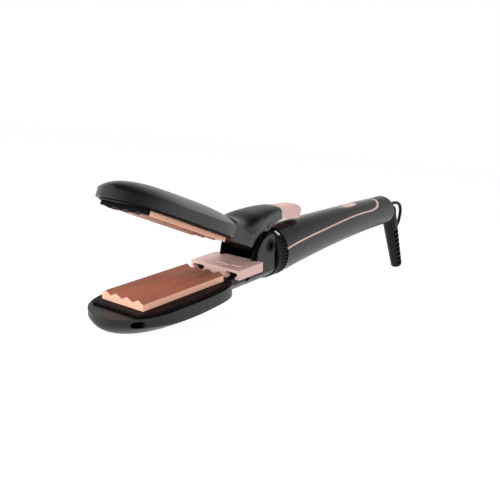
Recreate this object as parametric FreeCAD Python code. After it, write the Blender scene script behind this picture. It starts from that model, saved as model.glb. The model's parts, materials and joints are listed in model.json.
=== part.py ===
# Hair crimper: fixed lower jaw, sprung upper jaw with a thumb lever, two ridged plates.
# Everything is drawn in the tool's own frame and set down on its belly and cord guard at the end.
# Tool frame in millimetres: X runs back along the handle, Y is across, Z is up.
# Pieces of the upper jaw are drawn closed and then turned about the hinge to the open rest pose.
import FreeCAD
import Part
import math
import os

V = FreeCAD.Vector
x_axis = V(1, 0, 0)
y_axis = V(0, 1, 0)
z_axis = V(0, 0, 1)

# Hinge
hinge_x = 3.4
hinge_z = -0.9
jaw_open = 23.5
rest_pitch = 7.4

# Jaw outline, the same for both jaws
nose_x = -135.0
nose_half = 4.5
wide_x = -97.0
jaw_half = 27.5
tail_length = 59.0
shell_wall = 2.2

# Crimp plates and their ridges
plate_front_x = -117.4
plate_rear_x = -47.7
plate_half = 17.0
ridge_pitch = 9.0
ridge_depth = 2.3
ridge_mid_z = -8.6
ridge_first_y = 5.0
plate_gap = 0.5
plate_back = 4.8
upper_plate_back = 5.6
heater_length = 58.0
heater_half = 9.0
heater_thick = 2.4
seat_gap = 0.15
frame_backing = 1.8

# Lower jaw housing, neck and ears
lower_rim_z = -15.0
lower_wall = 7.5
lower_nose_wall = 4.0
belly_nose_ratio = 0.40
belly_rear_ratio = 0.165
belly_low_x = -112.0
belly_slab = 160.0
belly_cut = 0.7
neck_half = 16.4
neck_wall_z = -19.0
neck_belly_z = -27.6
neck_front_x = -47.0
neck_rear_x = 8.3
ear_thick = 2.0
ear_front = 14.6
ear_top = 8.2
ear_foot_z = -8.5
vent_x = -124.5
vent_z = -18.4
vent_width = 6.5
vent_height = 4.0
neck_hole_x = -22.0
neck_hole_z = -18.4
neck_hole_r = 2.0

# Black hinge bracket between the ears
cheek_thick = 1.3
cheek_front_margin = 3.0
cheek_top_margin = 0.5
bracket_floor = 1.8
side_gap = 0.15

# Hinge pin, bushes and spring
pin_r = 2.5
pin_recess = 1.3
bush_r = 4.7
bush_proud = 0.3
run_gap = 0.05
spring_wire = 1.2
spring_clear = 0.3
spring_space = 0.5
spring_turns = 4
spring_half_room = 7.8

# Pink block behind the lower plate
block_front_x = -36.4
block_rear_x = -10.3
block_half = 20.75
block_top_z = -8.65
notch_inner = 9.2
notch_outer = 18.8
notch_top = 1.9
notch_lip = 1.7
notch_deep = 6.0

# Plate frames and cap
frame_margin_front = 6.0
frame_land = 2.0
frame_flange = 1.4
frame_step = 1.2
frame_lip = 0.5
frame_skirt = 3.2
cap_length = 6.0
cap_half = 17.0
cap_drop = 4.0
cap_wave = 1.0

# Upper jaw shell
upper_rim_z = -5.2
upper_crease_nose_z = 0.3
upper_crease_rear_z = 2.2
crown_ratio = 0.305

# Arm and thumb lever
arm_half = 15.5
hinge_half = 12.4
lever_half = 9.0
lever_tip_half = 7.4
arm_foot_z = -6.2
lever_skin = 1.5
seam_gap = 0.12
tip_seam_x = 16.6
tip_seam_z = 24.5
tip_seam_lean = 35.0
tip_end_x = 48.0
tip_round = 6.0
arm_crown_ratio = 0.42
arm_roundness = 0.8
hub_r = 4.5
hub_room_r = 9.6
beam_wall = 1.4
beam_top_z = -1.6
web_heel_z = -8.0

# Collar, lock ring and handle
axis_z = -11.0
collar_r = 15.4
spigot_r = 12.4
spigot_end_x = 36.0
collar_rear_x = 10.4
ring_gap = 0.3
ring_r = 18.0
knurl_front_x = 15.4
knurl_count = 46
knurl_deep = 0.9
knurl_share = 0.5
mark_front_x = 18.6
mark_length = 2.4
mark_width = 4.4
mark_angle = 33.7
mark_deep = 0.5
mark_clear_angle = 11.0
handle_front_x = 23.0
handle_end_x = 201.0
handle_wall = 2.4
handle_end_round = 3.0
mouth_r = 8.6
rear_wall = 4.0
front_wall = 4.0

# Rose gold trim line on the handle, as a height on its side view
trim_width = 1.1
trim_bend_width = 1.8
trim_front_z = -7.6
trim_rise_x = 80.0
trim_rise_z = -4.2
trim_mid_x = 150.0
trim_mid_z = -3.3
trim_bend_x = 180.0

# Power button, light and board
button_x = 138.0
button_length = 16.0
button_width = 8.6
button_rise = 0.5
button_gap = 0.4
button_travel = 0.8
well_length = 33.0
well_deep = 1.3
led_r = 1.0
led_inset = 2.4
led_gap = 0.15
board_front_x = 96.0
post_edge = 6.0
block_length = 6.0
block_height = 4.2
block_gap = 1.5
board_width = 16.0
board_thick = 1.6
board_z = -9.0
switch_side = 6.0
switch_height = 3.6
switch_clear = 0.3
post_r = 2.4
board_screw_r = 1.0
board_screw_head_r = 1.9
board_screw_head = 1.3

# Cord swivel, guard and hanging loop
swivel_flange_r = 9.9
swivel_flange = 2.0
end_play = 0.3
stub_r = 4.2
stub_drop = 3.0
stub_length = 11.0
guard_head_r = 7.2
guard_x = 213.8
guard_z = -14.5
guard_tilt = 23.9
guard_top_r = 7.0
guard_end_r = 5.2
guard_round = 0.8
rib_count = 8
rib_pitch = 5.3
slot_share = 0.5
slot_deep = 2.3
slot_spread = 0.66
cord_bore_r = 3.1
cord_bore_depth = 26.0
loop_wire_r = 1.45


def box(x0, x1, y0, y1, z0, z1):
    return Part.makeBox(x1 - x0, y1 - y0, z1 - z0, V(x0, y0, z0))


def rod(radius, length, start, direction):
    return Part.makeCylinder(radius, length, start, direction)


def across(edges, half_width, offset=0.0):
    # Solid from a side view outline in XZ, carried across Y.
    face = Part.Face(Part.Wire(edges))
    face.translate(V(0, offset - half_width, 0))
    return face.extrude(V(0, 2 * half_width, 0))


def chain(points):
    return [Part.makeLine(points[i], points[i + 1]) for i in range(len(points) - 1)]


def closed_chain(points):
    return chain(points + [points[0]])


def arc(a, b, c):
    return Part.Arc(a, b, c).toShape()


def spline(points):
    curve = Part.BSplineCurve()
    curve.interpolate(points)
    return curve.toShape()


def shifted(points, amount):
    # Points of a side view line moved square to it, to its left when it is followed.
    moved = []
    for i, point in enumerate(points):
        way = (points[min(i + 1, len(points) - 1)] - points[max(i - 1, 0)]).normalize()
        moved.append(point + V(-way.z, 0, way.x) * amount)
    return moved


def mirrored(shape):
    return shape.mirror(V(0, 0, 0), y_axis)


def joined(shapes):
    result = shapes[0]
    for shape in shapes[1:]:
        result = result.fuse(shape)
    return result.removeSplitter()


def stadium(length, width, height, centre):
    # Upright slot shape with round ends, its long side along X.
    reach = (length - width) / 2
    core = box(-reach, reach, -width / 2, width / 2, 0, height)
    ends = [rod(width / 2, height, V(side * reach, 0, 0), z_axis) for side in (-1, 1)]
    solid = joined([core] + ends)
    solid.translate(centre)
    return solid


def jaw_stations(end_half, inset=0.0):
    # Places along the jaw with its half width there: an elliptic nose, then a tail that rounds in.
    stations = []
    start = math.asin(nose_half / jaw_half)
    for i in range(7):
        turn = start + (math.pi / 2 - start) * i / 6
        x = wide_x - (wide_x - nose_x - inset) * math.cos(turn) ** 0.8
        stations.append((x, (jaw_half - inset) * math.sin(turn)))
    last = math.acos((end_half / jaw_half) ** 2)
    for i in range(1, 7):
        turn = last * (i / 6) ** 0.7
        x = wide_x + (tail_length - inset) * math.sin(turn) ** 0.5
        stations.append((x, (jaw_half - inset) * math.cos(turn) ** 0.5))
    return stations


def crowned_section(x, half, rim, crease, crown):
    right_rim = V(x, -half, rim)
    right_crease = V(x, -half, crease)
    left_crease = V(x, half, crease)
    left_rim = V(x, half, rim)
    top = V(x, 0, crown)
    edges = [Part.makeLine(left_rim, right_rim), Part.makeLine(right_rim, right_crease)]
    edges += [arc(right_crease, top, left_crease), Part.makeLine(left_crease, left_rim)]
    return Part.Wire(edges)


def lower_jaw_form(inset, rim):
    sections = []
    for x, half in jaw_stations(neck_half, inset):
        along = min(1.0, (x - nose_x) / (wide_x - nose_x))
        crease = lower_rim_z - lower_nose_wall - (lower_wall - lower_nose_wall) * along
        ratio = belly_nose_ratio + (belly_rear_ratio - belly_nose_ratio) * (x - nose_x) / 90
        sections.append(crowned_section(x, half, rim, crease, crease - half * ratio + inset))
    return Part.makeLoft(sections, True, False)


def upper_jaw_form(inset, rim):
    sections = []
    for x, half in jaw_stations(arm_half, inset):
        along = (x - nose_x) / 90
        crease = upper_crease_nose_z + (upper_crease_rear_z - upper_crease_nose_z) * along
        sections.append(crowned_section(x, half, rim, crease, crease + half * crown_ratio - inset))
    return Part.makeLoft(sections, True, False)


def neck_form(inset, front_x, rear_x):
    half = neck_half - inset
    sections = []
    for x in (front_x, rear_x):
        sections.append(crowned_section(x, half, lower_rim_z, neck_wall_z, neck_belly_z + inset))
    return Part.makeLoft(sections, True, True)


def ear_outline(front_margin, top_margin, foot_z, rear_x):
    # Side view of an ear: upright front foot, round front, upright rear edge.
    front = hinge_x - ear_front - front_margin
    top = hinge_z + ear_top + top_margin
    knee = V(front, 0, ear_foot_z)
    shoulder = V(hinge_x - 0.68 * (ear_front + front_margin), 0, hinge_z + 0.5 * (ear_top + top_margin))
    crest = V(hinge_x + 1.2, 0, top)
    rear_top = V(rear_x, 0, hinge_z + 0.62 * ear_top)
    bend = V(hinge_x + 0.78 * (rear_x - hinge_x), 0, hinge_z + 0.88 * (ear_top + top_margin))
    foot_rear = V(rear_x, 0, foot_z)
    foot_front = V(front, 0, foot_z)
    edges = [arc(knee, shoulder, crest), arc(crest, bend, rear_top), Part.makeLine(rear_top, foot_rear)]
    edges.append(Part.makeLine(foot_rear, foot_front))
    if foot_z < ear_foot_z:
        edges.append(Part.makeLine(foot_front, knee))
    return edges


def ridge_height(y):
    # Triangle wave across the plate: one ridge every ridge_pitch.
    phase = ((y - ridge_first_y) / ridge_pitch) % 1.0
    return ridge_mid_z + ridge_depth * (abs(2 * phase - 1) - 0.5)


def ridge_points(x, shift):
    # Corner points of the ridges from one side of the plate to the other.
    marks = [-plate_half, plate_half]
    step = ridge_pitch / 2
    first = math.ceil((-plate_half - ridge_first_y) / step)
    last = math.floor((plate_half - ridge_first_y) / step)
    marks += [ridge_first_y + step * i for i in range(first, last + 1)]
    return [V(x, y, ridge_height(y) + shift) for y in sorted(set(marks))]


def crimp_plate(back_z, shift):
    points = ridge_points(plate_front_x, shift)
    points += [V(plate_front_x, plate_half, back_z), V(plate_front_x, -plate_half, back_z)]
    face = Part.Face(Part.Wire(closed_chain(points)))
    return face.extrude(V(plate_rear_x - plate_front_x, 0, 0))


lower_plate_back_z = ridge_mid_z - plate_back
upper_plate_back_z = ridge_mid_z + upper_plate_back
lower_frame_top_z = lower_plate_back_z + frame_flange
frame_front_x = plate_front_x - frame_margin_front
frame_rear_x = plate_rear_x - 1.0


def lower_crimp_plate():
    return crimp_plate(lower_plate_back_z, 0.0)


def upper_crimp_plate():
    return crimp_plate(upper_plate_back_z, plate_gap)


def heater_pad(back_z, direction):
    middle = (plate_front_x + plate_rear_x) / 2
    far = back_z + direction * heater_thick
    return box(middle - heater_length / 2, middle + heater_length / 2, -heater_half, heater_half,
               min(back_z, far), max(back_z, far))


def lower_jaw_housing():
    jaw = lower_jaw_form(0.0, lower_rim_z)
    neck = neck_form(0.0, neck_front_x, neck_rear_x)
    ear = across(ear_outline(0.0, 0.0, lower_rim_z - 1.0, neck_rear_x), ear_thick / 2,
                 neck_half - ear_thick / 2)
    body = joined([jaw, neck, ear, mirrored(ear)])
    room = lower_jaw_form(shell_wall, lower_rim_z - shell_wall)
    room_box = box(nose_x, neck_front_x + 2, -jaw_half, jaw_half, lower_rim_z - 40, lower_rim_z - shell_wall)
    body = body.cut(room.common(room_box))
    tunnel = neck_form(shell_wall, neck_front_x - 1, neck_rear_x - shell_wall)
    body = body.cut(tunnel.common(box(neck_front_x - 1, 30, -40, 40, -60, lower_rim_z - shell_wall)))
    window = box(frame_front_x + 3, frame_rear_x - 3, -plate_half - 1.4, plate_half + 1.4,
                 lower_rim_z - shell_wall - 1, lower_rim_z + 1)
    body = body.cut(window)
    body = body.cut(rod(bush_r + run_gap, 60, V(hinge_x, -30, hinge_z), y_axis))
    body = body.cut(rod(neck_hole_r, 2 * neck_half + 2, V(neck_hole_x, -neck_half - 1, neck_hole_z), y_axis))
    body = body.cut(rod(4.0, 8, V(neck_rear_x - 4, 0, -20.0), x_axis))
    vent = stadium(vent_width, vent_height, 60, V(0, 0, -30))
    vent.rotate(V(0, 0, 0), x_axis, 90)
    vent.translate(V(vent_x, 0, vent_z))
    return body.cut(vent)


def set_down_plane():
    # A point of the belly's flat and the direction that will point straight down.
    x = belly_low_x
    half = jaw_half * 0.95
    ratio = belly_nose_ratio + (belly_rear_ratio - belly_nose_ratio) * (x - nose_x) / 90
    along = (x - nose_x) / (wide_x - nose_x)
    crease = lower_rim_z - lower_nose_wall - (lower_wall - lower_nose_wall) * along
    pitch = math.radians(rest_pitch)
    return V(x, 0, crease - half * ratio + belly_cut), V(-math.sin(pitch), 0, -math.cos(pitch))


def belly_cutter():
    point, down = set_down_plane()
    slab = Part.makeBox(belly_slab, belly_slab, belly_slab, V(-belly_slab / 2, -belly_slab / 2, -belly_slab))
    slab.rotate(V(0, 0, 0), y_axis, rest_pitch)
    slab.translate(point)
    return slab


def hinge_bracket():
    outer = neck_half - ear_thick - side_gap
    cheek_rear = neck_rear_x - 0.3
    floor_z = lower_rim_z + bracket_floor
    cheek = across(ear_outline(cheek_front_margin, cheek_top_margin, floor_z, cheek_rear),
                   cheek_thick / 2, outer - cheek_thick / 2)
    clear_block = box(-60, block_rear_x + 0.2, -40, 40, -40, block_top_z + 0.25)
    cheek = cheek.cut(clear_block)
    floor = box(block_rear_x + 0.2, cheek_rear, -outer, outer, lower_rim_z, floor_z)
    ledge = box(block_rear_x + 0.2, block_rear_x + 2.6, -outer, outer, lower_rim_z, block_top_z - 0.3)
    body = joined([cheek, mirrored(cheek), floor, ledge])
    return body.cut(rod(pin_r + run_gap, 60, V(hinge_x, -30, hinge_z), y_axis))


def pivot_bushes():
    bush = rod(bush_r, ear_thick + bush_proud, V(hinge_x, -neck_half - bush_proud, hinge_z), y_axis)
    bush = bush.cut(rod(pin_r + run_gap, 60, V(hinge_x, -30, hinge_z), y_axis))
    return Part.makeCompound([bush, mirrored(bush)])


def pivot_pin():
    reach = neck_half - pin_recess
    pin = rod(pin_r, 2 * reach, V(hinge_x, -reach, hinge_z), y_axis)
    socket = rod(1.2, 1.0, V(hinge_x, -reach, hinge_z), y_axis)
    return pin.cut(socket).cut(mirrored(socket))


def tangent_arc(start, corner, end):
    # Arc from start to end that is tangent to the two legs meeting at the corner.
    middle = (start + end) * 0.5
    lean = start.distanceToPoint(middle) / start.distanceToPoint(corner)
    return arc(start, middle + (corner - middle) * (lean / (1 + lean)), end)


def biarc(start, start_way, end, end_way):
    # Two tangent arcs that join two points with given directions.
    span = end - start
    both = start_way + end_way
    spread = 2 * (1 - start_way.dot(end_way))
    reach = (math.sqrt(span.dot(both) ** 2 + spread * span.dot(span)) - span.dot(both)) / spread
    first = start + start_way * reach
    second = end - end_way * reach
    middle = (first + second) * 0.5
    return [tangent_arc(start, first, middle), tangent_arc(middle, second, end)]


def coil_place(turn):
    # Point and direction on the spring's helix after a number of turns.
    radius = pin_r + spring_clear + spring_wire / 2
    pitch = spring_wire + spring_space
    angle = 2 * math.pi * turn
    point = V(radius * math.cos(angle), pitch * (turn - spring_turns / 2), radius * math.sin(angle))
    way = V(-radius * math.sin(angle), pitch / (2 * math.pi), radius * math.cos(angle))
    return point + V(hinge_x, 0, hinge_z), way.normalize()


def torsion_spring():
    # Coil round the hinge pin on arcs of half a quarter turn, with a leg down to the bracket floor.
    first, first_way = coil_place(0)
    leg_foot_z = lower_rim_z + bracket_floor + spring_wire / 2 + 0.05
    foot = V(first.x, first.y, leg_foot_z)
    edges = [Part.makeLine(foot, V(first.x, first.y, hinge_z - 1.0))]
    edges += biarc(V(first.x, first.y, hinge_z - 1.0), z_axis, *coil_place(0.25))
    for i in range(1, 4 * spring_turns):
        edges += biarc(*coil_place(i / 4), *coil_place((i + 1) / 4))
    ring = Part.Wire(Part.makeCircle(spring_wire / 2, foot, z_axis))
    print("least gap between spring turns", round(spring_space, 2))
    return Part.Wire(edges).makePipeShell([ring], True, False)


def lower_plate_frame():
    flange = lower_jaw_form(frame_land, lower_frame_top_z)
    flange = flange.common(box(frame_front_x, frame_rear_x, -40, 40, lower_rim_z, 0))
    upper = lower_jaw_form(frame_land + frame_step, lower_frame_top_z + frame_lip)
    upper = upper.common(box(frame_front_x + frame_step, frame_rear_x - frame_step, -40, 40, lower_rim_z, 0))
    skirt = box(frame_front_x + 3.2, frame_rear_x - 3.2, -plate_half - 1.2, plate_half + 1.2,
                lower_rim_z - frame_skirt, lower_rim_z)
    body = joined([flange, upper, skirt])
    seat = box(plate_front_x - seat_gap, plate_rear_x + seat_gap, -plate_half - seat_gap,
               plate_half + seat_gap, lower_plate_back_z, 0)
    well = box(plate_front_x + 3, plate_rear_x - 3, -heater_half - 2, heater_half + 2,
               lower_rim_z - frame_skirt - 1, 0)
    return body.cut(seat).cut(well)


def lower_plate_clips():
    clips = []
    for side in (-1, 1):
        middle = side * (notch_inner + notch_outer) / 2
        foot = box(frame_rear_x + 0.2, block_front_x + 3, middle - 2.6, middle + 2.6,
                   lower_rim_z, lower_rim_z + 0.8)
        hook = box(block_front_x + 2.2, block_front_x + 3, middle - 2.6, middle + 2.6,
                   lower_rim_z, lower_rim_z + 3.6)
        clips.append(foot.fuse(hook).removeSplitter())
    return Part.makeCompound(clips)


def plate_end_block():
    body = box(block_front_x, block_rear_x, -block_half, block_half, lower_rim_z, block_top_z)
    edges = []
    for edge in body.Edges:
        upright = abs(edge.tangentAt(edge.FirstParameter).z) > 0.9
        if upright and edge.CenterOfMass.x > -20:
            edges.append(edge)
    body = body.makeFillet(1.2, edges)
    notch_width = notch_outer - notch_inner
    for side in (-1, 1):
        middle = side * (notch_inner + notch_outer) / 2
        slot = box(block_front_x - 1, block_front_x + notch_deep, middle - notch_width / 2,
                   middle + notch_width / 2, lower_rim_z + notch_lip, block_top_z - notch_top)
        slot_edges = [e for e in slot.Edges if abs(e.tangentAt(e.FirstParameter).x) > 0.9]
        body = body.cut(slot.makeFillet(1.2, slot_edges))
        clip_room = box(block_front_x - 1, block_front_x + 3.4, middle - 3.0, middle + 3.0,
                        lower_rim_z - 1, lower_rim_z + notch_lip + 0.5)
        body = body.cut(clip_room)
    window = box(-31.4, -28.8, -7.0, -2.2, block_top_z - 1.6, block_top_z + 1)
    dot = rod(0.9, 3, V(-31.5, 12.0, block_top_z - 0.8), z_axis)
    ear_room = box(hinge_x - ear_front - 0.2, block_rear_x + 1, neck_half - ear_thick - 0.2, neck_half + 0.2,
                   lower_rim_z - 1, block_top_z + 1)
    body = body.cut(window).cut(dot).cut(ear_room).cut(mirrored(ear_room))
    raised = []
    for y in (2.4, -11.4):
        pad = stadium(8.6, 3.0, 0.9, V(0, 0, block_top_z - 0.5))
        pad.rotate(V(0, 0, 0), z_axis, 90)
        pad.translate(V(-27.6, y, 0))
        raised.append(pad)
    return joined([body] + raised)


def arm_stations():
    # Places along the arm and lever, from jaw to tip: x, half width and height of the crown.
    return [(-50, arm_half, 8.6), (-40, arm_half, 8.6), (-31, arm_half - 0.1, 9.0), (-24, arm_half - 0.2, 10.3),
            (-16, arm_half - 0.5, 15.1), (-7, arm_half - 1.8, 19.9), (5, lever_half + 3.0, 25.3),
            (19.5, lever_half + 0.2, 30.3), (32, lever_half - 1.1, 34.3), (tip_end_x - tip_round, lever_tip_half, 36.7)]


def arm_section(x, half, crown, foot):
    # Flat foot, upright sides and a rounded saddle over the top.
    drop = half * arm_crown_ratio
    saddle = []
    for i in range(9):
        turn = math.pi * i / 8
        across_share = math.copysign(abs(math.cos(turn)) ** arm_roundness, math.cos(turn))
        saddle.append(V(x, -half * across_share, crown - drop + drop * math.sin(turn) ** arm_roundness))
    edges = [spline(saddle), Part.makeLine(saddle[-1], V(x, half, foot))]
    edges += [Part.makeLine(V(x, half, foot), V(x, -half, foot)), Part.makeLine(V(x, -half, foot), saddle[0])]
    return Part.Wire(edges)


def arm_underside(inset):
    # Side view of all that lies above the underside of the arm and lever.
    points = [V(5.4, 0, 12.8), V(12, 0, 17.2), V(20.5, 0, 20.9), V(31, 0, 23.8), V(41, 0, 26.2), V(tip_end_x + 4, 0, 28.6)]
    points = shifted(points, inset)
    foot = arm_foot_z
    rest = [points[-1], V(tip_end_x + 4, 0, 60), V(-60, 0, 60), V(-60, 0, foot), V(-14, 0, foot),
            V(hinge_x - 1, 0, 8.4), points[0]]
    return [spline(points)] + chain(rest)


def arm_block(inset):
    # The arm and thumb lever, drawn smaller all round by the inset.
    sections = [arm_section(x, half - inset, crown - inset, -30) for x, half, crown in arm_stations()]
    x, half, crown = arm_stations()[-1]
    for turn in (30, 55, 75, 86):
        lean = math.radians(turn)
        end = x + (tip_round - inset) * math.sin(lean)
        low = (1 - math.cos(lean)) * (half + 1)
        sections.append(arm_section(end, (half - inset) * math.cos(lean), crown - inset + 0.6 * math.sin(lean) - low, -30))
    return Part.makeLoft(sections, True, False).common(across(arm_underside(inset), 30))


def ear_pocket():
    # Room that the ears and cheeks need in the arm, at rest and closed.
    outline = ear_outline(cheek_front_margin + 0.7, cheek_top_margin + 0.7, lower_rim_z, neck_rear_x + 1.0)
    pocket = across(outline, 6.0, hinge_half + 6.0)
    turned = pocket.copy()
    turned.rotate(V(hinge_x, 0, hinge_z), y_axis, -jaw_open)
    side = pocket.fuse(turned)
    return side.fuse(mirrored(side))


def seam_x(z):
    # The slanted seam between the dark lever and its tip.
    return tip_seam_x - (z - tip_seam_z) * math.tan(math.radians(tip_seam_lean))


def panel_region(margin):
    # Saddle shaped part of the lever that the dark panel covers.
    low = [V(-27.0, 0, 16.0), V(-31.2, 0, 8.6), V(-32.0, 0, 5.4), V(-27.5, 0, 3.1), V(-20.0, 0, 2.4), V(-12.6, 0, 5.2),
           V(-8.2, 0, 12.0), V(-3.0, 0, 18.6), V(4.6, 0, 23.2), V(tip_seam_x - 2.6, 0, 26.8)]
    low = shifted(low, margin)
    rest = chain([low[-1], V(tip_seam_x - 2.6, 0, 60), V(-27.0 + margin, 0, 60), low[0]])
    return across([spline(low)] + rest, 30)


def tip_region(gap):
    low = V(seam_x(15) + gap, 0, 15)
    high = V(seam_x(45) + gap, 0, 45)
    return across(closed_chain([low, V(70, 0, 15), V(70, 0, 45), high]), 30)


def upper_jaw_shell():
    jaw = upper_jaw_form(0.0, upper_rim_z)
    room = upper_jaw_form(shell_wall, upper_rim_z - 1)
    body = jaw.cut(room).fuse(arm_block(0.0)).removeSplitter()
    body = body.cut(rod(hub_room_r, 60, V(hinge_x, -30, hinge_z), y_axis)).cut(ear_pocket())
    body = body.cut(tip_region(0.0))
    body = body.cut(panel_region(0.0).cut(arm_block(lever_skin + seam_gap)))
    beam_half = hinge_half - beam_wall
    beam_room = box(-44.0, -2.0, -beam_half, beam_half, arm_foot_z - 1, beam_top_z + seat_gap)
    front_room = room.common(box(-70, -43.5, -40, 40, -20, 30))
    return body.cut(beam_room).cut(front_room)


def lever_grip_panel():
    panel = arm_block(0.0).common(panel_region(seam_gap)).cut(arm_block(lever_skin))
    return panel.cut(ear_pocket())


def lever_tip():
    return arm_block(0.0).common(tip_region(seam_gap))


def upper_arm_frame():
    lug_outline = chain([V(-43.5, 0, arm_foot_z), V(-12, 0, arm_foot_z), V(-8.8, 0, web_heel_z),
                         V(-2.6, 0, web_heel_z), V(hinge_x - 1.2, 0, hinge_z - hub_r + 0.1)])
    lug_outline += [arc(V(hinge_x - 1.2, 0, hinge_z - hub_r + 0.1), V(hinge_x + hub_r, 0, hinge_z),
                        V(hinge_x - 1.2, 0, hinge_z + hub_r - 0.1))]
    lug_outline += chain([V(hinge_x - 1.2, 0, hinge_z + hub_r - 0.1), V(-3.0, 0, 3.4), V(-5.2, 0, beam_top_z),
                          V(-43.5, 0, beam_top_z), V(-43.5, 0, arm_foot_z)])
    body = across(lug_outline, hinge_half - beam_wall - seat_gap)
    body = body.cut(rod(hub_r + 2.0, 2 * spring_half_room, V(hinge_x, -spring_half_room, hinge_z), y_axis))
    return body.cut(rod(pin_r + run_gap, 60, V(hinge_x, -30, hinge_z), y_axis))


def upper_plate_frame():
    low = upper_rim_z - 0.9
    high = upper_plate_back_z + frame_backing
    slab = upper_jaw_form(shell_wall + seat_gap, low)
    slab = slab.common(box(nose_x, -44.0, -40, 40, low, high))
    seat = box(plate_front_x - seat_gap, plate_rear_x + seat_gap, -plate_half - seat_gap,
               plate_half + seat_gap, -30, upper_plate_back_z)
    opening = box(plate_front_x + 2, plate_rear_x - 2, -plate_half + 2, plate_half - 2, -30, 30)
    return slab.cut(seat).cut(opening)


def upper_plate_end_cap():
    # Scalloped cap in front of the plate, with one round wave under each ridge gap.
    top = upper_rim_z - 0.9
    low = top - cap_drop
    points = [V(0, -cap_half, top), V(0, -cap_half, low + 0.6)]
    steps = 5 * round(2 * cap_half / ridge_pitch)
    for i in range(1, steps):
        y = -cap_half + 2 * cap_half * i / steps
        points.append(V(0, y, low + cap_wave * math.cos(2 * math.pi * (y - ridge_first_y) / ridge_pitch)))
    points += [V(0, cap_half, low + 0.6), V(0, cap_half, top)]
    face = Part.Face(Part.Wire(closed_chain(points)))
    face.translate(V(plate_front_x - seat_gap - cap_length, 0, 0))
    return face.extrude(V(cap_length, 0, 0))


def head_socket():
    collar = rod(collar_r, collar_rear_x - neck_rear_x, V(neck_rear_x, 0, axis_z), x_axis)
    spigot = rod(spigot_r, spigot_end_x - neck_rear_x, V(neck_rear_x, 0, axis_z), x_axis)
    body = collar.fuse(spigot).removeSplitter()
    body = body.cut(rod(spigot_r - 3, spigot_end_x, V(neck_rear_x + 4, 0, axis_z), x_axis))
    return body.cut(rod(4.0, 8, V(neck_rear_x - 2, 0, -20.0), x_axis))


def lock_ring():
    front = collar_rear_x + ring_gap
    rear = handle_front_x - ring_gap
    ring = rod(ring_r, rear - front, V(front, 0, axis_z), x_axis)
    ring = ring.makeChamfer(0.8, [e for e in ring.Edges if e.Closed])
    width = 2 * math.pi * ring_r / knurl_count * knurl_share
    grooves = []
    turns = [360 * (i + 0.5) / knurl_count for i in range(knurl_count)]
    for turn in turns:
        if abs(turn - mark_angle) < mark_clear_angle:
            continue
        groove = box(knurl_front_x, rear - 0.6, -width / 2, width / 2, ring_r - knurl_deep, ring_r + 1)
        groove.translate(V(0, 0, axis_z))
        groove.rotate(V(0, 0, axis_z), x_axis, turn)
        grooves.append(groove)
    ring = ring.cut(grooves)
    ring = ring.cut(rod(spigot_r + run_gap, 60, V(0, 0, axis_z), x_axis))
    return ring.cut(index_mark_form())


def index_mark_form():
    mark = box(mark_front_x, mark_front_x + mark_length, -mark_width / 2, mark_width / 2,
               ring_r - mark_deep, ring_r + 0.1)
    mark.translate(V(0, 0, axis_z))
    mark.rotate(V(0, 0, axis_z), x_axis, mark_angle)
    return mark


def ring_index_mark():
    limit = rod(ring_r, 60, V(0, 0, axis_z), x_axis)
    return index_mark_form().common(limit)


def handle_radius(x):
    k = (x - 120) / 100
    return 14.32 - 2.79 * k + 1.18 * k * k


def handle_height(x):
    k = (x - 120) / 100
    return -9.39 - 0.22 * k - 2.04 * k * k


def handle_form(inset, front_x, rear_x):
    steps = 6
    sections = []
    for i in range(steps + 1):
        x = front_x + (rear_x - front_x) * i / steps
        circle = Part.makeCircle(handle_radius(x) - inset, V(x, 0, handle_height(x)), x_axis)
        sections.append(Part.Wire(circle))
    return Part.makeLoft(sections, True, False)


def trim_curve(up, back):
    # Side view of the trim line: a gentle rise, then a bend over the top.
    bend = trim_bend_x - back
    middle = trim_mid_z + up
    points = [V(handle_front_x - 2, 0, trim_front_z + up), V(trim_rise_x, 0, trim_rise_z + up),
              V(trim_mid_x, 0, middle), V(bend - 8, 0, middle + 1.3), V(bend - 2.0, 0, middle + 4.4), V(bend, 0, 12)]
    return spline(points)


def above_trim(up, back):
    low = trim_curve(up, back)
    start = V(handle_front_x - 2, 0, trim_front_z + up)
    end = V(trim_bend_x - back, 0, 12)
    return across([low] + chain([end, V(end.x, 0, 30), V(start.x, 0, 30), start]), 40)


def handle_solid():
    solid = handle_form(0.0, handle_front_x, handle_end_x)
    edges = [e for e in solid.Edges if e.Closed and e.CenterOfMass.x > handle_end_x - 1]
    return solid.makeFillet(handle_end_round, edges)


def handle_hollow():
    return handle_form(handle_wall, handle_front_x + front_wall, handle_end_x - rear_wall)


def handle_shell():
    body = handle_solid().cut(handle_hollow())
    body = body.cut(above_trim(0.0, 0.0))
    body = body.cut(rod(spigot_r + side_gap, 60, V(0, 0, axis_z), x_axis))
    body = body.cut(rod(mouth_r + 0.05, 20, V(handle_end_x - rear_wall - 2, 0, axis_z), x_axis))
    posts = []
    for x, y in board_posts():
        post = rod(post_r, 16, V(x, y, board_z - 16), z_axis)
        post = post.common(handle_form(handle_wall - 0.4, handle_front_x + 1, handle_end_x - 1))
        posts.append(post.cut(rod(board_screw_r + 0.02, 6, V(x, y, board_z - 5), z_axis)))
    return joined([body] + posts)


def rear_post_x():
    # Behind the light and the terminal block, with room for the screw heads.
    return led_x() + led_r + 2 * block_gap + block_length + board_screw_head_r


def board_posts():
    return [(x, lane * 4.6) for x in (board_front_x + post_edge, rear_post_x()) for lane in (-1, 1)]


def button_top():
    return handle_height(button_x) + handle_radius(button_x)


def well_form(rise):
    # Shallow scoop round the button, as a big drum across the handle, raised by the amount given.
    drum_r = (well_length ** 2 / 4 + well_deep ** 2) / (2 * well_deep)
    return rod(drum_r - rise, 60, V(button_x, -30, button_top() - well_deep + drum_r), y_axis)


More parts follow.
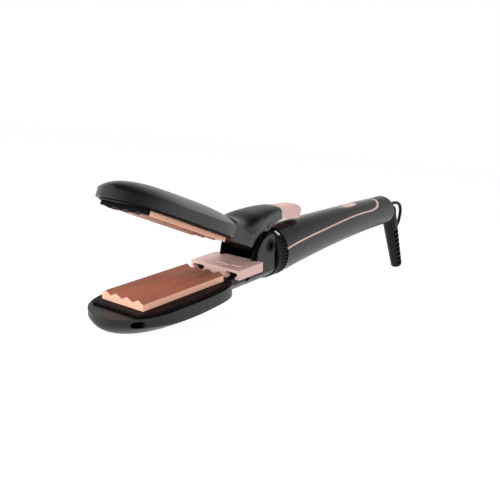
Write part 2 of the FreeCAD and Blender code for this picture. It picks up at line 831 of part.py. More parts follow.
def handle_top_panel():
    body = handle_solid().cut(handle_hollow())
    body = body.common(above_trim(trim_width, trim_bend_width))
    body = body.cut(rod(spigot_r + side_gap, 60, V(0, 0, axis_z), x_axis))
    body = body.cut(well_form(0.0))
    hole = stadium(button_length + 2 * button_gap, button_width + 2 * button_gap, 30,
                   V(button_x, 0, button_top() - 20))
    return body.cut(hole)


def led_x():
    return button_x + button_length / 2 - led_inset


def handle_trim():
    body = handle_solid().cut(handle_hollow())
    band = above_trim(0.0, 0.0).cut(above_trim(trim_width, trim_bend_width))
    body = body.common(band)
    return body.cut(rod(spigot_r + side_gap, 60, V(0, 0, axis_z), x_axis))


def power_button():
    top = button_top()
    cap = stadium(button_length, button_width, 30, V(button_x, 0, top - 4.9))
    cap = cap.cut(well_form(button_rise)).common(box(0, 300, -20, 20, -60, top + 5))
    flange = stadium(button_length + 2, button_width + 3, 1.0, V(button_x, 0, top - 5.8))
    stem_z = board_z + board_thick + switch_height + button_travel + switch_clear
    stem = rod(1.8, top - 5.4 - stem_z, V(button_x, 0, stem_z), z_axis)
    light_way = rod(led_r + led_gap, 30, V(led_x(), 0, board_z), z_axis)
    return joined([cap, flange, stem]).cut(light_way)


def led_lens():
    top = button_top() - well_deep + button_rise - led_r + 0.2
    foot = board_z + board_thick
    lens = rod(led_r, top - foot, V(led_x(), 0, foot), z_axis)
    dome = Part.makeSphere(led_r, V(led_x(), 0, top))
    return lens.fuse(dome).removeSplitter()


def control_board():
    rear = rear_post_x() + post_edge
    board = box(board_front_x, rear, -board_width / 2, board_width / 2, board_z, board_z + board_thick)
    top = board_z + board_thick
    capacitor = rod(3.2, 7.0, V(board_front_x + 12.5, 2.0, top), z_axis)
    chip = box(board_front_x + 18, board_front_x + 24, -5, 1, top, top + 2.2)
    block_x = led_x() + led_r + block_gap
    block = box(block_x, block_x + block_length, -4, 4, top, top + block_height)
    body = joined([board, capacitor, chip, block])
    for x, y in board_posts():
        body = body.cut(rod(board_screw_r + 0.1, 30, V(x, y, board_z - 10), z_axis))
    return body


def tact_switch():
    base = board_z + board_thick
    half = switch_side / 2
    case = box(button_x - half, button_x + half, -half, half, base, base + switch_height - 0.8)
    plunger = rod(1.7, 1.0, V(button_x, 0, base + switch_height - 1.0), z_axis)
    return case.fuse(plunger).removeSplitter()


def board_screws():
    screws = []
    top = board_z + board_thick
    for x, y in board_posts():
        shank = rod(board_screw_r, 5.5, V(x, y, top - 5.5), z_axis)
        head = rod(board_screw_head_r, board_screw_head, V(x, y, top), z_axis)
        screws.append(shank.fuse(head).removeSplitter())
    return Part.makeCompound(screws)


def guard_direction():
    lean = math.radians(guard_tilt)
    return V(math.sin(lean), 0, -math.cos(lean))


def guard_length():
    # Length at which the guard's end just reaches the plane that the belly stands on.
    point, down = set_down_plane()
    axis = guard_direction()
    side = V(-math.cos(math.radians(guard_tilt)), 0, -math.sin(math.radians(guard_tilt)))
    start = V(guard_x, 0, guard_z)
    need = point.dot(down) - start.dot(down) - guard_round
    need -= (guard_end_r - guard_round) * side.dot(down)
    return need / axis.dot(down) + guard_round


def cord_swivel():
    inner = handle_end_x - rear_wall
    flange = rod(swivel_flange_r, swivel_flange, V(inner - end_play - swivel_flange, 0, axis_z), x_axis)
    disc = rod(mouth_r, handle_end_x - inner + end_play + 0.4, V(inner - end_play - 0.2, 0, axis_z), x_axis)
    stub = rod(stub_r, stub_length, V(handle_end_x, 0, axis_z - stub_drop), x_axis)
    body = joined([flange, disc, stub])
    return body.cut(rod(1.8, 8, V(inner - 4, 0, axis_z - stub_drop), x_axis))


def cord_guard():
    # Tapered sleeve with a row of slots on both sides, which leave a spine before and behind.
    axis = guard_direction()
    length = guard_length()
    start = V(guard_x, 0, guard_z)
    smooth = length - rib_count * rib_pitch - 2.5
    profile = [V(0, 0, 0), V(guard_top_r, 0, 0), V(guard_end_r, 0, length - guard_round),
               V(guard_end_r - guard_round, 0, length), V(0, 0, length)]
    sleeve = Part.Face(Part.Wire(closed_chain(profile))).revolve(V(0, 0, 0), z_axis, 360)
    taper = (guard_top_r - guard_end_r) / length
    slots = []
    for i in range(rib_count):
        at = smooth + (i + 0.5) * rib_pitch
        radius = guard_top_r - taper * at
        reach = radius * slot_spread
        half = slot_share * rib_pitch / 2
        slot = box(-reach, reach, radius - slot_deep, radius + 1, at - half, at + half)
        slots += [slot, mirrored(slot)]
    sleeve = sleeve.cut(slots)
    sleeve.rotate(V(0, 0, 0), y_axis, 180 - guard_tilt)
    sleeve.translate(start)
    head = Part.makeSphere(guard_head_r, start)
    reach = guard_x - handle_end_x - 0.6
    throat = rod(guard_head_r - 0.6, reach, V(handle_end_x + 0.6, 0, axis_z - stub_drop), x_axis)
    body = joined([sleeve, head, throat])
    body = body.cut(rod(stub_r + run_gap, stub_length + 0.1, V(handle_end_x, 0, axis_z - stub_drop), x_axis))
    bore_start = start + axis * (length + 1)
    return body.cut(rod(cord_bore_r, cord_bore_depth + 1, bore_start, axis * -1))


def hanging_loop():
    start = V(guard_x, 0, guard_z)
    axis = guard_direction()
    foot = start + axis * 22
    points = [V(guard_x + 1.5, 0, guard_z + guard_head_r - 1.2), V(221.5, 0, -8.4), V(229.5, 0, -9.2),
              V(236.4, 0, -12.2), V(239.4, 0, -17.4), V(238.8, 0, -23.6), V(236.0, 0, -29.6), foot + V(4.4, 0, 0)]
    path = Part.Wire(spline(points))
    ring = Part.Wire(Part.makeCircle(loop_wire_r, points[0], path.Edges[0].tangentAt(path.Edges[0].FirstParameter)))
    wire = path.makePipeShell([ring], True, False)
    return wire.cut(cord_guard())


fixed_pieces = {
    "handle_shell": handle_shell,
    "handle_top_panel": handle_top_panel,
    "handle_trim": handle_trim,
    "led_lens": led_lens,
    "control_board": control_board,
    "tact_switch": tact_switch,
    "board_screws": board_screws,
    "head_socket": head_socket,
    "lower_jaw_housing": lambda: lower_jaw_housing().cut(belly_cutter()),
    "hinge_bracket": hinge_bracket,
    "pivot_bushes": pivot_bushes,
    "pivot_pin": pivot_pin,
    "torsion_spring": torsion_spring,
    "lower_plate_frame": lower_plate_frame,
    "lower_crimp_plate": lower_crimp_plate,
    "lower_heater": lambda: heater_pad(lower_plate_back_z, -1),
    "lower_plate_clips": lower_plate_clips,
    "plate_end_block": plate_end_block,
    "lock_ring": lock_ring,
    "ring_index_mark": ring_index_mark,
    "power_button": power_button,
    "cord_swivel": cord_swivel,
    "cord_guard": cord_guard,
    "hanging_loop": hanging_loop,
}
jaw_pieces = {
    "upper_jaw_shell": upper_jaw_shell,
    "lever_grip_panel": lever_grip_panel,
    "lever_tip": lever_tip,
    "upper_arm_frame": upper_arm_frame,
    "upper_plate_frame": upper_plate_frame,
    "upper_plate_end_cap": upper_plate_end_cap,
    "upper_crimp_plate": upper_crimp_plate,
    "upper_heater": lambda: heater_pad(upper_plate_back_z, 1),
}


def all_pieces():
    pieces = {}
    for name, make in fixed_pieces.items():
        pieces[name] = make()
    for name, make in jaw_pieces.items():
        shape = make()
        shape.rotate(V(hinge_x, 0, hinge_z), y_axis, jaw_open)
        pieces[name] = shape
    return pieces


def extent(shape):
    # Lowest and highest corners of a shape, from its own surface points.
    points = shape.tessellate(0.02)[0]
    low = V(min(p.x for p in points), min(p.y for p in points), min(p.z for p in points))
    high = V(max(p.x for p in points), max(p.y for p in points), max(p.z for p in points))
    return low, high


def placed(pieces):
    # Pitch the tool so that belly and guard stand level, then centre its box over the origin.
    low = V(1e9, 1e9, 1e9)
    high = V(-1e9, -1e9, -1e9)
    for shape in pieces.values():
        shape.rotate(V(0, 0, 0), y_axis, -rest_pitch)
        corner, far_corner = extent(shape)
        low = V(min(low.x, corner.x), min(low.y, corner.y), min(low.z, corner.z))
        high = V(max(high.x, far_corner.x), max(high.y, far_corner.y), max(high.z, far_corner.z))
    shift = V(-(low.x + high.x) / 2, -(low.y + high.y) / 2, -low.z)
    for shape in pieces.values():
        shape.translate(shift)
    print("size", high - low)
    return shift


def print_places(shift):
    # Places and directions that the joints and mounts need, in the finished frame.
    turn = FreeCAD.Rotation(y_axis, -rest_pitch)
    axis = guard_direction()
    spots = {"hinge": V(hinge_x, 0, hinge_z), "handle axis": V(0, 0, axis_z), "belly": set_down_plane()[0],
             "guard end": V(guard_x, 0, guard_z) + axis * guard_length()}
    for name, spot in spots.items():
        print("place", name, turn.multVec(spot) + shift)
    for name, way in {"handle": x_axis, "up": z_axis, "guard": axis}.items():
        print("direction", name, turn.multVec(way))


def main():
    os.makedirs("parts", exist_ok=True)
    pieces = all_pieces()
    print_places(placed(pieces))
    for name, shape in pieces.items():
        print(name, len(shape.Solids), round(shape.Volume, 1), shape.isValid())
        shape.exportStep("parts/" + name + ".step")


main()
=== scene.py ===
import bpy
import bmesh
import json
import math
import numpy as np
from mathutils import Matrix, Vector


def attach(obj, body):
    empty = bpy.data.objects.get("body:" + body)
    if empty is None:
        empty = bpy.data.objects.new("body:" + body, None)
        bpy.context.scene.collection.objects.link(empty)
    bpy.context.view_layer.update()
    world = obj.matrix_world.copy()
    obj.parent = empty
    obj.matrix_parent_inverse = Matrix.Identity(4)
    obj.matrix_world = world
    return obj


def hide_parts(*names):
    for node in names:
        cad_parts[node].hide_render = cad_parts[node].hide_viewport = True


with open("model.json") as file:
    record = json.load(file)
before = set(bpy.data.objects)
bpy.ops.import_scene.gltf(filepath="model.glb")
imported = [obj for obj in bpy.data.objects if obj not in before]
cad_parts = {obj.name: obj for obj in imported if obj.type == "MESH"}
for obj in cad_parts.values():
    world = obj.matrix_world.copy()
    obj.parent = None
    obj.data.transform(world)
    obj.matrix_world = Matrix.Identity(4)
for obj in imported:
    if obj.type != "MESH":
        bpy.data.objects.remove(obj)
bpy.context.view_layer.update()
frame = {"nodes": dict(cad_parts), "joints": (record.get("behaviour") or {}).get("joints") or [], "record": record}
nodes = frame["nodes"]
joints = {j["name"]: j for j in frame["joints"]}
bodies = frame["record"]["behaviour"]["bodies"]
nodeBody = {node: body for body, members in bodies.items() for node in members}
print("frame loaded:", len(nodes), "nodes")

# The tool's own frame is in millimetres, with x back along the handle. The row frame is in metres.
# The ring turns on the handle's axis, so its joint gives the pitch at which the tool lies.
axisWay = np.array(joints["ring_turn"]["axis"])
axisSpot = np.array(joints["ring_turn"]["pos_m"]) * 1000
pitchCos, pitchSin = axisWay[0], axisWay[2]
axisHeight = -11.0  # z of the handle's axis at x = 0
rowShift = axisSpot - np.array([-axisHeight * pitchSin, 0, axisHeight * pitchCos])


def turnToRow(points):
    # Pitch only: new x = x cos - z sin, new z = x sin + z cos.
    points = np.asarray(points, float)
    x, y, z = points[..., 0], points[..., 1], points[..., 2]
    return np.stack([x * pitchCos - z * pitchSin, y, x * pitchSin + z * pitchCos], axis=-1)


def toRow(points):
    return (turnToRow(points) + rowShift) / 1000


def toTool(points):
    # The way back: metres of the row frame to the tool's own millimetres.
    moved = np.asarray(points, float) * 1000 - rowShift
    x, y, z = moved[..., 0], moved[..., 1], moved[..., 2]
    return np.stack([x * pitchCos + z * pitchSin, y, z * pitchCos - x * pitchSin], axis=-1)


def linear(code):
    # sRGB hex to linear: c / 12.92 below 0.04045, otherwise ((c + 0.055) / 1.055) to the power 2.4.
    parts = [int(code[i:i + 2], 16) / 255 for i in (1, 3, 5)]
    return [c / 12.92 if c <= 0.04045 else ((c + 0.055) / 1.055) ** 2.4 for c in parts] + [1.0]


def add(tree, kind, sockets=None, output=None, **settings):
    # One node with its settings. A socket takes a constant or another node's output.
    node = tree.nodes.new(kind)
    for name, value in settings.items():
        setattr(node, name, value)
    for name, value in (sockets or {}).items():
        if isinstance(value, bpy.types.NodeSocket):
            tree.links.new(value, node.inputs[name])
        else:
            node.inputs[name].default_value = value
    return node if output is None else node.outputs[output]


def newMaterial(name, sockets):
    # A principled material with its constants set, and the piece's own coordinates to build patterns on.
    material = bpy.data.materials.new(name)
    material.use_nodes = True
    tree = material.node_tree
    shader = tree.nodes["Principled BSDF"]
    for socket, value in sockets.items():
        shader.inputs[socket].default_value = value
    return material, tree, shader, add(tree, "ShaderNodeTexCoord", output="Object")


# Sizes in millimetres, shares from 0 to 1.
plasticLook = {
    "cloudSize": 26.0, "cloudBand": (0.35, 0.75), "cloudShare": 0.35, "cloudGloss": (-0.02, 0.03),
    "grainBand": (0.3, 0.7), "glossBelow": 0.05, "glossAbove": 0.06, "grainHeight": 0.05,
    "wornBand": (0.52, 0.6), "wornShare": 0.55,
}


def plastic(name, code, worn, roughness, grain, depth, coat=0.0, coatRough=0.1, shine=0.5):
    # Moulded plastic: spark eroded grain in gloss and bump, a faint cloudy tone, edges rubbed paler.
    look = plasticLook
    material, tree, shader, coords = newMaterial(name, {
        "Coat Weight": coat, "Coat Roughness": coatRough, "Specular IOR Level": shine})
    cloud = add(tree, "ShaderNodeTexNoise", {
        "Vector": coords, "Scale": 1000 / look["cloudSize"], "Detail": 2.0, "Roughness": 0.55}, "Fac")
    fine = add(tree, "ShaderNodeTexNoise", {
        "Vector": coords, "Scale": 1000 / grain, "Detail": 4.0, "Roughness": 0.6}, "Fac")
    edge = add(tree, "ShaderNodeNewGeometry", output="Pointiness")
    cloudy = add(tree, "ShaderNodeMapRange", {
        "Value": cloud, "From Min": look["cloudBand"][0], "From Max": look["cloudBand"][1],
        "To Min": 0.0, "To Max": look["cloudShare"]}, "Result")
    rubbed = add(tree, "ShaderNodeMapRange", {
        "Value": edge, "From Min": look["wornBand"][0], "From Max": look["wornBand"][1],
        "To Min": 0.0, "To Max": look["wornShare"]}, "Result")
    tone = add(tree, "ShaderNodeMix", {0: cloudy, 6: linear(code), 7: linear(worn)}, 2, data_type="RGBA")
    tone = add(tree, "ShaderNodeMix", {0: rubbed, 6: tone, 7: linear(worn)}, 2, data_type="RGBA")
    tree.links.new(tone, shader.inputs["Base Color"])
    fineGloss = add(tree, "ShaderNodeMapRange", {
        "Value": fine, "From Min": look["grainBand"][0], "From Max": look["grainBand"][1],
        "To Min": roughness - look["glossBelow"], "To Max": roughness + look["glossAbove"]}, "Result")
    cloudGloss = add(tree, "ShaderNodeMapRange", {
        "Value": cloud, "To Min": look["cloudGloss"][0], "To Max": look["cloudGloss"][1]}, "Result")
    gloss = add(tree, "ShaderNodeMath", {0: fineGloss, 1: cloudGloss}, 0, operation="ADD")
    tree.links.new(gloss, shader.inputs["Roughness"])
    grained = add(tree, "ShaderNodeBump", {
        "Height": fine, "Strength": depth, "Distance": look["grainHeight"] / 1000}, "Normal")
    tree.links.new(grained, shader.inputs["Normal"])
    return material


copperLook = {
    "lineSize": 0.5, "lineStretch": 0.04, "lineBand": (0.3, 0.7), "lineHeight": 0.02, "lineStrength": 0.05,
    "cloudSize": 18.0, "cloudBand": (0.3, 0.75), "cloudShare": 0.6,
    "flakeSize": 0.12, "flakeBand": (0.4, 0.75), "flakeShare": 0.1, "flakeColour": "#f6cdb4",
    "glossBelow": 0.06, "glossAbove": 0.08,
}


def copper(name, code, dark, roughness):
    # Copper coloured ceramic coat: sprayed flake, drawing lines along the plate, a warm cloudy tint.
    look = copperLook
    material, tree, shader, coords = newMaterial(name, {
        "Metallic": 0.6, "Coat Weight": 0.1, "Coat Roughness": 0.3})
    along = add(tree, "ShaderNodeMapping", {
        "Vector": coords, "Scale": (look["lineStretch"], 1.0, 1.0)}, "Vector")
    drawn = add(tree, "ShaderNodeTexNoise", {
        "Vector": along, "Scale": 1000 / look["lineSize"], "Detail": 3.0, "Roughness": 0.55}, "Fac")
    cloud = add(tree, "ShaderNodeTexNoise", {
        "Vector": coords, "Scale": 1000 / look["cloudSize"], "Detail": 2.0, "Roughness": 0.55}, "Fac")
    flake = add(tree, "ShaderNodeTexNoise", {
        "Vector": coords, "Scale": 1000 / look["flakeSize"], "Detail": 2.0, "Roughness": 0.55}, "Fac")
    cloudy = add(tree, "ShaderNodeMapRange", {
        "Value": cloud, "From Min": look["cloudBand"][0], "From Max": look["cloudBand"][1],
        "To Min": 0.0, "To Max": look["cloudShare"]}, "Result")
    flaked = add(tree, "ShaderNodeMapRange", {
        "Value": flake, "From Min": look["flakeBand"][0], "From Max": look["flakeBand"][1],
        "To Min": 0.0, "To Max": look["flakeShare"]}, "Result")
    tone = add(tree, "ShaderNodeMix", {0: cloudy, 6: linear(code), 7: linear(dark)}, 2, data_type="RGBA")
    spark = add(tree, "ShaderNodeMix", {
        0: flaked, 6: tone, 7: linear(look["flakeColour"])}, 2, data_type="RGBA")
    tree.links.new(spark, shader.inputs["Base Color"])
    gloss = add(tree, "ShaderNodeMapRange", {
        "Value": drawn, "From Min": look["lineBand"][0], "From Max": look["lineBand"][1],
        "To Min": roughness - look["glossBelow"], "To Max": roughness + look["glossAbove"]}, "Result")
    tree.links.new(gloss, shader.inputs["Roughness"])
    lined = add(tree, "ShaderNodeBump", {
        "Height": drawn, "Strength": look["lineStrength"], "Distance": look["lineHeight"] / 1000}, "Normal")
    tree.links.new(lined, shader.inputs["Normal"])
    return material


metalLook = {
    "scratchSize": 0.35, "scratchBand": (0.3, 0.7), "scratchHeight": 0.02, "scratchStrength": 0.1,
    "cloudSize": 3.0, "cloudBand": (0.4, 0.8), "cloudShare": 0.4, "dull": "#8d8c8a",
    "glossBelow": 0.08, "glossAbove": 0.1,
}


def metal(name, code, roughness):
    # Turned or drawn steel: fine scratches in the gloss and bump, slightly dulled in places.
    look = metalLook
    material, tree, shader, coords = newMaterial(name, {"Metallic": 1.0})
    scratch = add(tree, "ShaderNodeTexNoise", {
        "Vector": coords, "Scale": 1000 / look["scratchSize"], "Detail": 4.0, "Roughness": 0.55}, "Fac")
    cloud = add(tree, "ShaderNodeTexNoise", {
        "Vector": coords, "Scale": 1000 / look["cloudSize"], "Detail": 3.0, "Roughness": 0.55}, "Fac")
    dulled = add(tree, "ShaderNodeMapRange", {
        "Value": cloud, "From Min": look["cloudBand"][0], "From Max": look["cloudBand"][1],
        "To Min": 0.0, "To Max": look["cloudShare"]}, "Result")
    tone = add(tree, "ShaderNodeMix", {
        0: dulled, 6: linear(code), 7: linear(look["dull"])}, 2, data_type="RGBA")
    tree.links.new(tone, shader.inputs["Base Color"])
    gloss = add(tree, "ShaderNodeMapRange", {
        "Value": scratch, "From Min": look["scratchBand"][0], "From Max": look["scratchBand"][1],
        "To Min": roughness - look["glossBelow"], "To Max": roughness + look["glossAbove"]}, "Result")
    tree.links.new(gloss, shader.inputs["Roughness"])
    scored = add(tree, "ShaderNodeBump", {
        "Height": scratch, "Strength": look["scratchStrength"],
        "Distance": look["scratchHeight"] / 1000}, "Normal")
    tree.links.new(scored, shader.inputs["Normal"])
    return material


# Moulded heat resistant nylon of the jaws: near black, its grain only shows as a soft grey sheen.
housing = plastic("satinCharcoalPlastic", "#09090a", "#0e0e0f", 0.36, 0.35, 0.08, shine=0.42)
leverPlastic = plastic("satinGraphitePlastic", "#08080a", "#0d0d0e", 0.32, 0.35, 0.08, shine=0.6)
# Softer, darker panel under the thumb: it takes up light where the shell round it shines.
saddlePlastic = plastic("softBlackPlastic", "#060607", "#09090a", 0.32, 0.3, 0.05, shine=0.3)
# Satin ABS of the handle's lower half, greyer than the polished ABS of its top.
shellPlastic = plastic("satinGreyHandlePlastic", "#141415", "#1a1a1c", 0.34, 0.4, 0.08, shine=0.5)
glossPlastic = plastic("glossBlackPlastic", "#050505", "#080808", 0.24, 0.3, 0.01, 0.25, 0.12, 0.4)
# Dull glass filled plastic next to the hot plates: stays black beside the bright copper.
framePlastic = plastic("heatResistantBlackPlastic", "#050506", "#0a0a0b", 0.50, 0.3, 0.06, shine=0.12)
# Pink moulded ABS with a thin satin lacquer.
rosePlastic = plastic("dustyRosePlastic", "#cfa9a3", "#d9b6b0", 0.42, 0.3, 0.06, 0.05, 0.3)
# Matte PVC of the cord guard and loop.
guardRubber = plastic("matteBlackFlexible", "#050506", "#09090a", 0.46, 0.25, 0.10, shine=0.2)
# Sprayed ceramic coat on the ridges. The paler peach on the cut sides of the plates is painted light: a lit,
# non-metal copy of the coat for the front light on the sides, while the upper jaw shades the ridged tops.
copperCoat = copper("copperCeramicCoat", "#cf8f78", "#c28069", 0.38)
# Painted light: a lit, paler peach copy of the coat, given to the plates' sides.
litPlateSidePaint = plastic("peachPlateSidePaintedLight", "#eab79f", "#e2a98f", 0.5, 0.4, 0.04, shine=0.3)
# Inner pieces, and the small white ones: steel, a small white mark on the ring, fired alumina, varnished board,
# lens.
pinSteel = metal("turnedSteel", "#b9b7b3", 0.32)
markWhite = plastic("whiteMark", "#e9e9e6", "#d9d9d6", 0.4, 0.3, 0.03)
padCeramic = plastic("whiteCeramicPad", "#d8d5cd", "#c8c4ba", 0.6, 0.5, 0.1)
boardGreen = plastic("greenCircuitBoard", "#1c5a35", "#16492b", 0.35, 0.8, 0.05, 0.4, 0.1)
switchBlack = plastic("switchBody", "#161616", "#222222", 0.4, 0.3, 0.05)
lightLens = plastic("milkyLens", "#e4e6ea", "#f2f3f5", 0.25, 0.6, 0.02)
print("materials made")

nodeMaterials = {
    "handle_shell": shellPlastic, "handle_top_panel": glossPlastic, "handle_trim": rosePlastic,
    "led_lens": lightLens, "control_board": boardGreen, "tact_switch": switchBlack,
    "board_screws": pinSteel,
    "head_socket": framePlastic, "lower_jaw_housing": housing, "hinge_bracket": framePlastic,
    "pivot_bushes": framePlastic, "pivot_pin": framePlastic, "torsion_spring": pinSteel,
    "lower_plate_frame": framePlastic, "lower_crimp_plate": copperCoat, "lower_heater": padCeramic,
    "lower_plate_clips": framePlastic, "plate_end_block": rosePlastic, "lock_ring": framePlastic,
    "ring_index_mark": markWhite, "power_button": rosePlastic, "cord_swivel": guardRubber,
    "cord_guard": guardRubber, "hanging_loop": guardRubber, "upper_jaw_shell": leverPlastic,
    "lever_grip_panel": saddlePlastic, "lever_tip": rosePlastic, "upper_arm_frame": framePlastic,
    "upper_plate_frame": framePlastic, "upper_plate_end_cap": framePlastic,
    "upper_crimp_plate": copperCoat, "upper_heater": padCeramic,
}
for name, material in nodeMaterials.items():
    nodes[name].data.materials.clear()
    nodes[name].data.materials.append(material)

# Rounding of each visible node's edges in millimetres, where 0 only joins its mesh.
edgeSizes = {
    "handle_shell": 0.15, "handle_top_panel": 0.12, "handle_trim": 0.0, "head_socket": 0.2,
    "lower_jaw_housing": 0.45, "hinge_bracket": 0.25, "pivot_bushes": 0.3, "pivot_pin": 0.2,
    "lower_plate_frame": 0.35, "lower_crimp_plate": 0.12, "lower_plate_clips": 0.15,
    "plate_end_block": 0.35, "lock_ring": 0.12, "power_button": 0.4, "cord_swivel": 0.2,
    "cord_guard": 0.15, "hanging_loop": 0.0, "upper_jaw_shell": 0.45, "lever_grip_panel": 0.15,
    "lever_tip": 0.7, "upper_arm_frame": 0.3, "upper_plate_frame": 0.25, "upper_plate_end_cap": 0.35,
    "upper_crimp_plate": 0.12, "ring_index_mark": 0.05, "led_lens": 0.0, "torsion_spring": 0.0,
}
dressing = {"joinWithin": 2e-6, "flatWithin": 0.6, "sharpOver": 28, "segments": 2}


def dressed(node, edge):
    # A joined copy of a CAD node with small rounded edges, in place of the node.
    mesh = nodes[node].data.copy()
    sharp = math.radians(dressing["sharpOver"])
    flat = math.radians(dressing["flatWithin"])
    work = bmesh.new()
    work.from_mesh(mesh)
    bmesh.ops.remove_doubles(work, verts=work.verts, dist=dressing["joinWithin"])
    bmesh.ops.dissolve_limit(work, angle_limit=flat, verts=work.verts, edges=work.edges)
    work.to_mesh(mesh)
    work.free()
    mesh.set_sharp_from_angle(angle=sharp)
    mesh.polygons.foreach_set("use_smooth", [True] * len(mesh.polygons))
    piece = bpy.data.objects.new(node + "_dressed", mesh)
    bpy.context.scene.collection.objects.link(piece)
    if edge:
        rounding = piece.modifiers.new("edges", "BEVEL")
        rounding.width = edge / 1000
        rounding.segments = dressing["segments"]
        rounding.limit_method = "ANGLE"
        rounding.angle_limit = sharp
        rounding.harden_normals = True
        rounding.use_clamp_overlap = True
    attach(piece, nodeBody[node])
    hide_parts(node)
    return piece


pieces = {name: dressed(name, edge) for name, edge in edgeSizes.items()}

hingeTool = toTool(joints["jaw_hinge"]["pos_m"])
jawOpen = math.radians(-joints["jaw_hinge"]["range_deg"][0])


def spun(points, angle):
    # Turn about the hinge, which lies along y: new x = x cos + z sin, new z = z cos - x sin.
    moved = points - hingeTool
    x, y, z = moved[..., 0], moved[..., 1], moved[..., 2]
    turn, lift = math.cos(angle), math.sin(angle)
    return np.stack([x * turn + z * lift, y, z * turn - x * lift], axis=-1) + hingeTool


def toJaw(points):
    # Row frame to the frame in which the upper jaw lies shut.
    return spun(toTool(points), -jawOpen)


def jawToRow(points):
    return toRow(spun(points, jawOpen))


def meshPoints(name):
    mesh = pieces[name].data
    spots = np.empty(len(mesh.vertices) * 3)
    mesh.vertices.foreach_get("co", spots)
    return spots.reshape(-1, 3)


def pressed(name, base, share, wayIn, wayOut, side):
    # Past the base height, new z = base + share * (z - base). Side is 1 above the base and -1 below it.
    points = wayIn(meshPoints(name))
    far = side * (points[:, 2] - base) > 0
    points[far, 2] = base + share * (points[far, 2] - base)
    pieces[name].data.vertices.foreach_set("co", wayOut(points).ravel())
    pieces[name].data.update()


# The plate stands prouder of its frame in the photograph than the solids show.
framePress = {"base": -15.0, "share": 0.4}
pressed("lower_plate_frame", framePress["base"], framePress["share"], toTool, toRow, 1)

# The scallops of the end cap hang less low in the photograph, and show the copper under them.
capPress = {"roof": 1.2, "share": 0.6}
capTop = toJaw(meshPoints("upper_plate_end_cap"))[:, 2].max()
pressed("upper_plate_end_cap", capTop - capPress["roof"], capPress["share"], toJaw, jawToRow, -1)

# The cut sides of the plates get the paler peach copy, painted light for the front light that falls on them; the
# ridged face keeps the coat's own colour. A face counts as a cut side of the plate where its normal has less than
# this share along the plate's own z.
sideShare = 0.35
for name, wayIn in (("lower_crimp_plate", toTool), ("upper_crimp_plate", toJaw)):
    mesh = pieces[name].data
    mesh.materials.append(litPlateSidePaint)
    plateUp = (wayIn(np.eye(3) / 1000) - wayIn(np.zeros(3)))[:, 2]
    normals = np.empty(len(mesh.polygons) * 3)
    mesh.polygons.foreach_get("normal", normals)
    # Faces picked by their normal get the painted light of the plate sides.
    isPaintedLitSide = np.abs(normals.reshape(-1, 3) @ plateUp) < sideShare
    mesh.polygons.foreach_set("material_index", isPaintedLitSide.astype(np.int32))
    mesh.update()
print("nodes dressed")

floorLook = {
    "half": 4.0, "roughness": 0.9, "gritSize": 40.0, "gritBand": (0.3, 0.7),
    "grit": "#fbfbfb", "plain": "#ffffff", "glow": 1.07, "glowShare": 0.90,
}
half = floorLook["half"]
corners = [(-half, -half, 0), (half, -half, 0), (half, half, 0), (-half, half, 0)]
floorMesh = bpy.data.meshes.new("floor")
floorMesh.from_pydata(corners, [], [(0, 1, 2, 3)])
floor = bpy.data.objects.new("floor", floorMesh)
bpy.context.scene.collection.objects.link(floor)
floorPaint, tree, shader, coords = newMaterial("paleFloor", {"Roughness": floorLook["roughness"]})
grit = add(tree, "ShaderNodeTexNoise", {
    "Vector": coords, "Scale": 1000 / floorLook["gritSize"], "Detail": 3.0, "Roughness": 0.55}, "Fac")
gritty = add(tree, "ShaderNodeMapRange", {
    "Value": grit, "From Min": floorLook["gritBand"][0], "From Max": floorLook["gritBand"][1]}, "Result")
paint = add(tree, "ShaderNodeMix", {
    0: gritty, 6: linear(floorLook["grit"]), 7: linear(floorLook["plain"])}, 2, data_type="RGBA")
tree.links.new(paint, shader.inputs["Base Color"])
# Seen by the camera the floor is mostly plain white, and keeps a faint shadow of the tool.
glow = add(tree, "ShaderNodeEmission", {
    "Color": (1, 1, 1, 1), "Strength": floorLook["glow"]}, "Emission")
path = add(tree, "ShaderNodeLightPath").outputs
seen = add(tree, "ShaderNodeMath", {0: path["Is Camera Ray"], 1: path["Is Glossy Ray"]}, 0, operation="ADD")
seen = add(tree, "ShaderNodeMath", {0: seen, 1: floorLook["glowShare"]}, 0, operation="MULTIPLY")
blend = add(tree, "ShaderNodeMixShader", {0: seen, 1: shader.outputs["BSDF"], 2: glow}, 0)
tree.links.new(blend, tree.nodes["Material Output"].inputs["Surface"])
floorMesh.materials.append(floorPaint)

# A white sweep round the horizon that darkens overhead and on the photographer's side.
# Heights and the share toward the photographer are parts of a unit direction.
skyLook = {
    "horizon": "#ffffff", "overhead": "#3c3c3e", "overheadBand": (0.25, 0.85),
    "dark": "#2a2a2b", "darkWay": (-0.76, -0.58, 0.0), "darkBand": (0.35, 0.9), "darkShare": 0.85,
}
world = bpy.data.worlds.new("studio")
bpy.context.scene.world = world
world.use_nodes = True
tree = world.node_tree
background = tree.nodes["Background"]
seen = add(tree, "ShaderNodeLightPath", output="Is Camera Ray")
way = add(tree, "ShaderNodeTexCoord", output="Generated")
height = add(tree, "ShaderNodeSeparateXYZ", {"Vector": way}, "Z")
raised = add(tree, "ShaderNodeMapRange", {
    "Value": height, "From Min": skyLook["overheadBand"][0],
    "From Max": skyLook["overheadBand"][1]}, "Result")
sky = add(tree, "ShaderNodeMix", {
    0: raised, 6: linear(skyLook["horizon"]), 7: linear(skyLook["overhead"])}, 2, data_type="RGBA")
toward = add(tree, "ShaderNodeVectorMath", {
    0: way, 1: skyLook["darkWay"]}, "Value", operation="DOT_PRODUCT")
shaded = add(tree, "ShaderNodeMapRange", {
    "Value": toward, "From Min": skyLook["darkBand"][0], "From Max": skyLook["darkBand"][1],
    "To Max": skyLook["darkShare"]}, "Result")
sky = add(tree, "ShaderNodeMix", {0: shaded, 6: sky, 7: linear(skyLook["dark"])}, 2, data_type="RGBA")
sky = add(tree, "ShaderNodeMix", {0: seen, 6: sky, 7: (1, 1, 1, 1)}, 2, data_type="RGBA")
tree.links.new(sky, background.inputs["Color"])
background.inputs["Strength"].default_value = 1.0

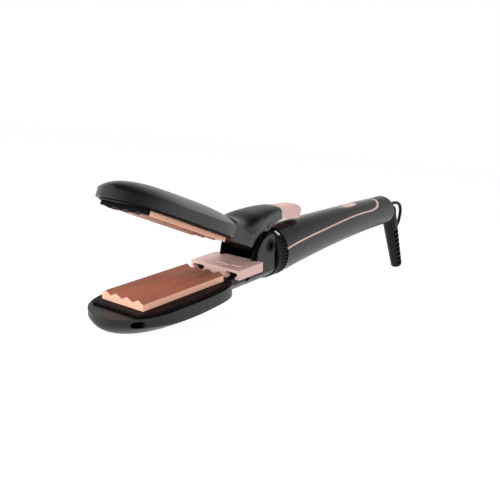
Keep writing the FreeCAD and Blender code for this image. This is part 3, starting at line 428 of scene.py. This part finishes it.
# Places in metres, powers in watts. The lamps light the tool and aren't mirrored in it.
lamps = {
    "overhead": {"place": (0.2, 0.3, 1.0), "target": (0, 0, 0.04), "size": (1.0, 0.8), "power": 8},
    "key": {"place": (-0.75, -0.95, 0.4), "target": (-0.05, 0, 0.04), "size": (0.5, 0.5), "power": 7},
    "fill": {"place": (-1.1, 0.2, 0.35), "target": (-0.05, 0, 0.04), "size": (0.6, 0.5), "power": 9},
}
for name, lamp in lamps.items():
    light = bpy.data.lights.new(name, "AREA")
    light.shape = "RECTANGLE"
    light.size, light.size_y = lamp["size"]
    light.energy = lamp["power"]
    box = bpy.data.objects.new(name, light)
    facing = (Vector(lamp["target"]) - Vector(lamp["place"])).to_track_quat("-Z", "Y")
    box.matrix_world = Matrix.Translation(lamp["place"]) @ facing.to_matrix().to_4x4()
    box.visible_glossy = False
    bpy.context.scene.collection.objects.link(box)

# The camera as worked out from the photograph: angles in degrees and its place in the tool's frame.
# It looks against back = (sin a cos e, -cos a cos e, sin e), then rolls about that direction.
cameraLook = {
    "azimuth": -52.654, "elevation": 15.822, "roll": 0.8, "place": (-368.706, -282.596, 125.477),
    "lens": 50.0, "sensor": 36.0, "clip": 0.01,
}
azimuth, elevation, roll = (math.radians(cameraLook[name]) for name in ("azimuth", "elevation", "roll"))
flatShare = math.cos(elevation)
back = np.array([math.sin(azimuth) * flatShare, -math.cos(azimuth) * flatShare, math.sin(elevation)])
level = np.cross(-back, [0, 0, 1])
level /= np.linalg.norm(level)
above = np.cross(back, level)
right = level * math.cos(roll) + above * math.sin(roll)
above = above * math.cos(roll) - level * math.sin(roll)
pose = np.eye(4)
pose[:3, :3] = turnToRow([right, above, back]).T
pose[:3, 3] = toRow(cameraLook["place"])
camera = bpy.data.objects.new("camera", bpy.data.cameras.new("camera"))
bpy.context.scene.collection.objects.link(camera)
bpy.context.scene.camera = camera
camera.matrix_world = Matrix(pose.tolist())
camera.data.lens = cameraLook["lens"]
camera.data.sensor_width = cameraLook["sensor"]
camera.data.clip_start = cameraLook["clip"]
bpy.context.scene.view_settings.view_transform = "Standard"
print("stage, light and camera set")
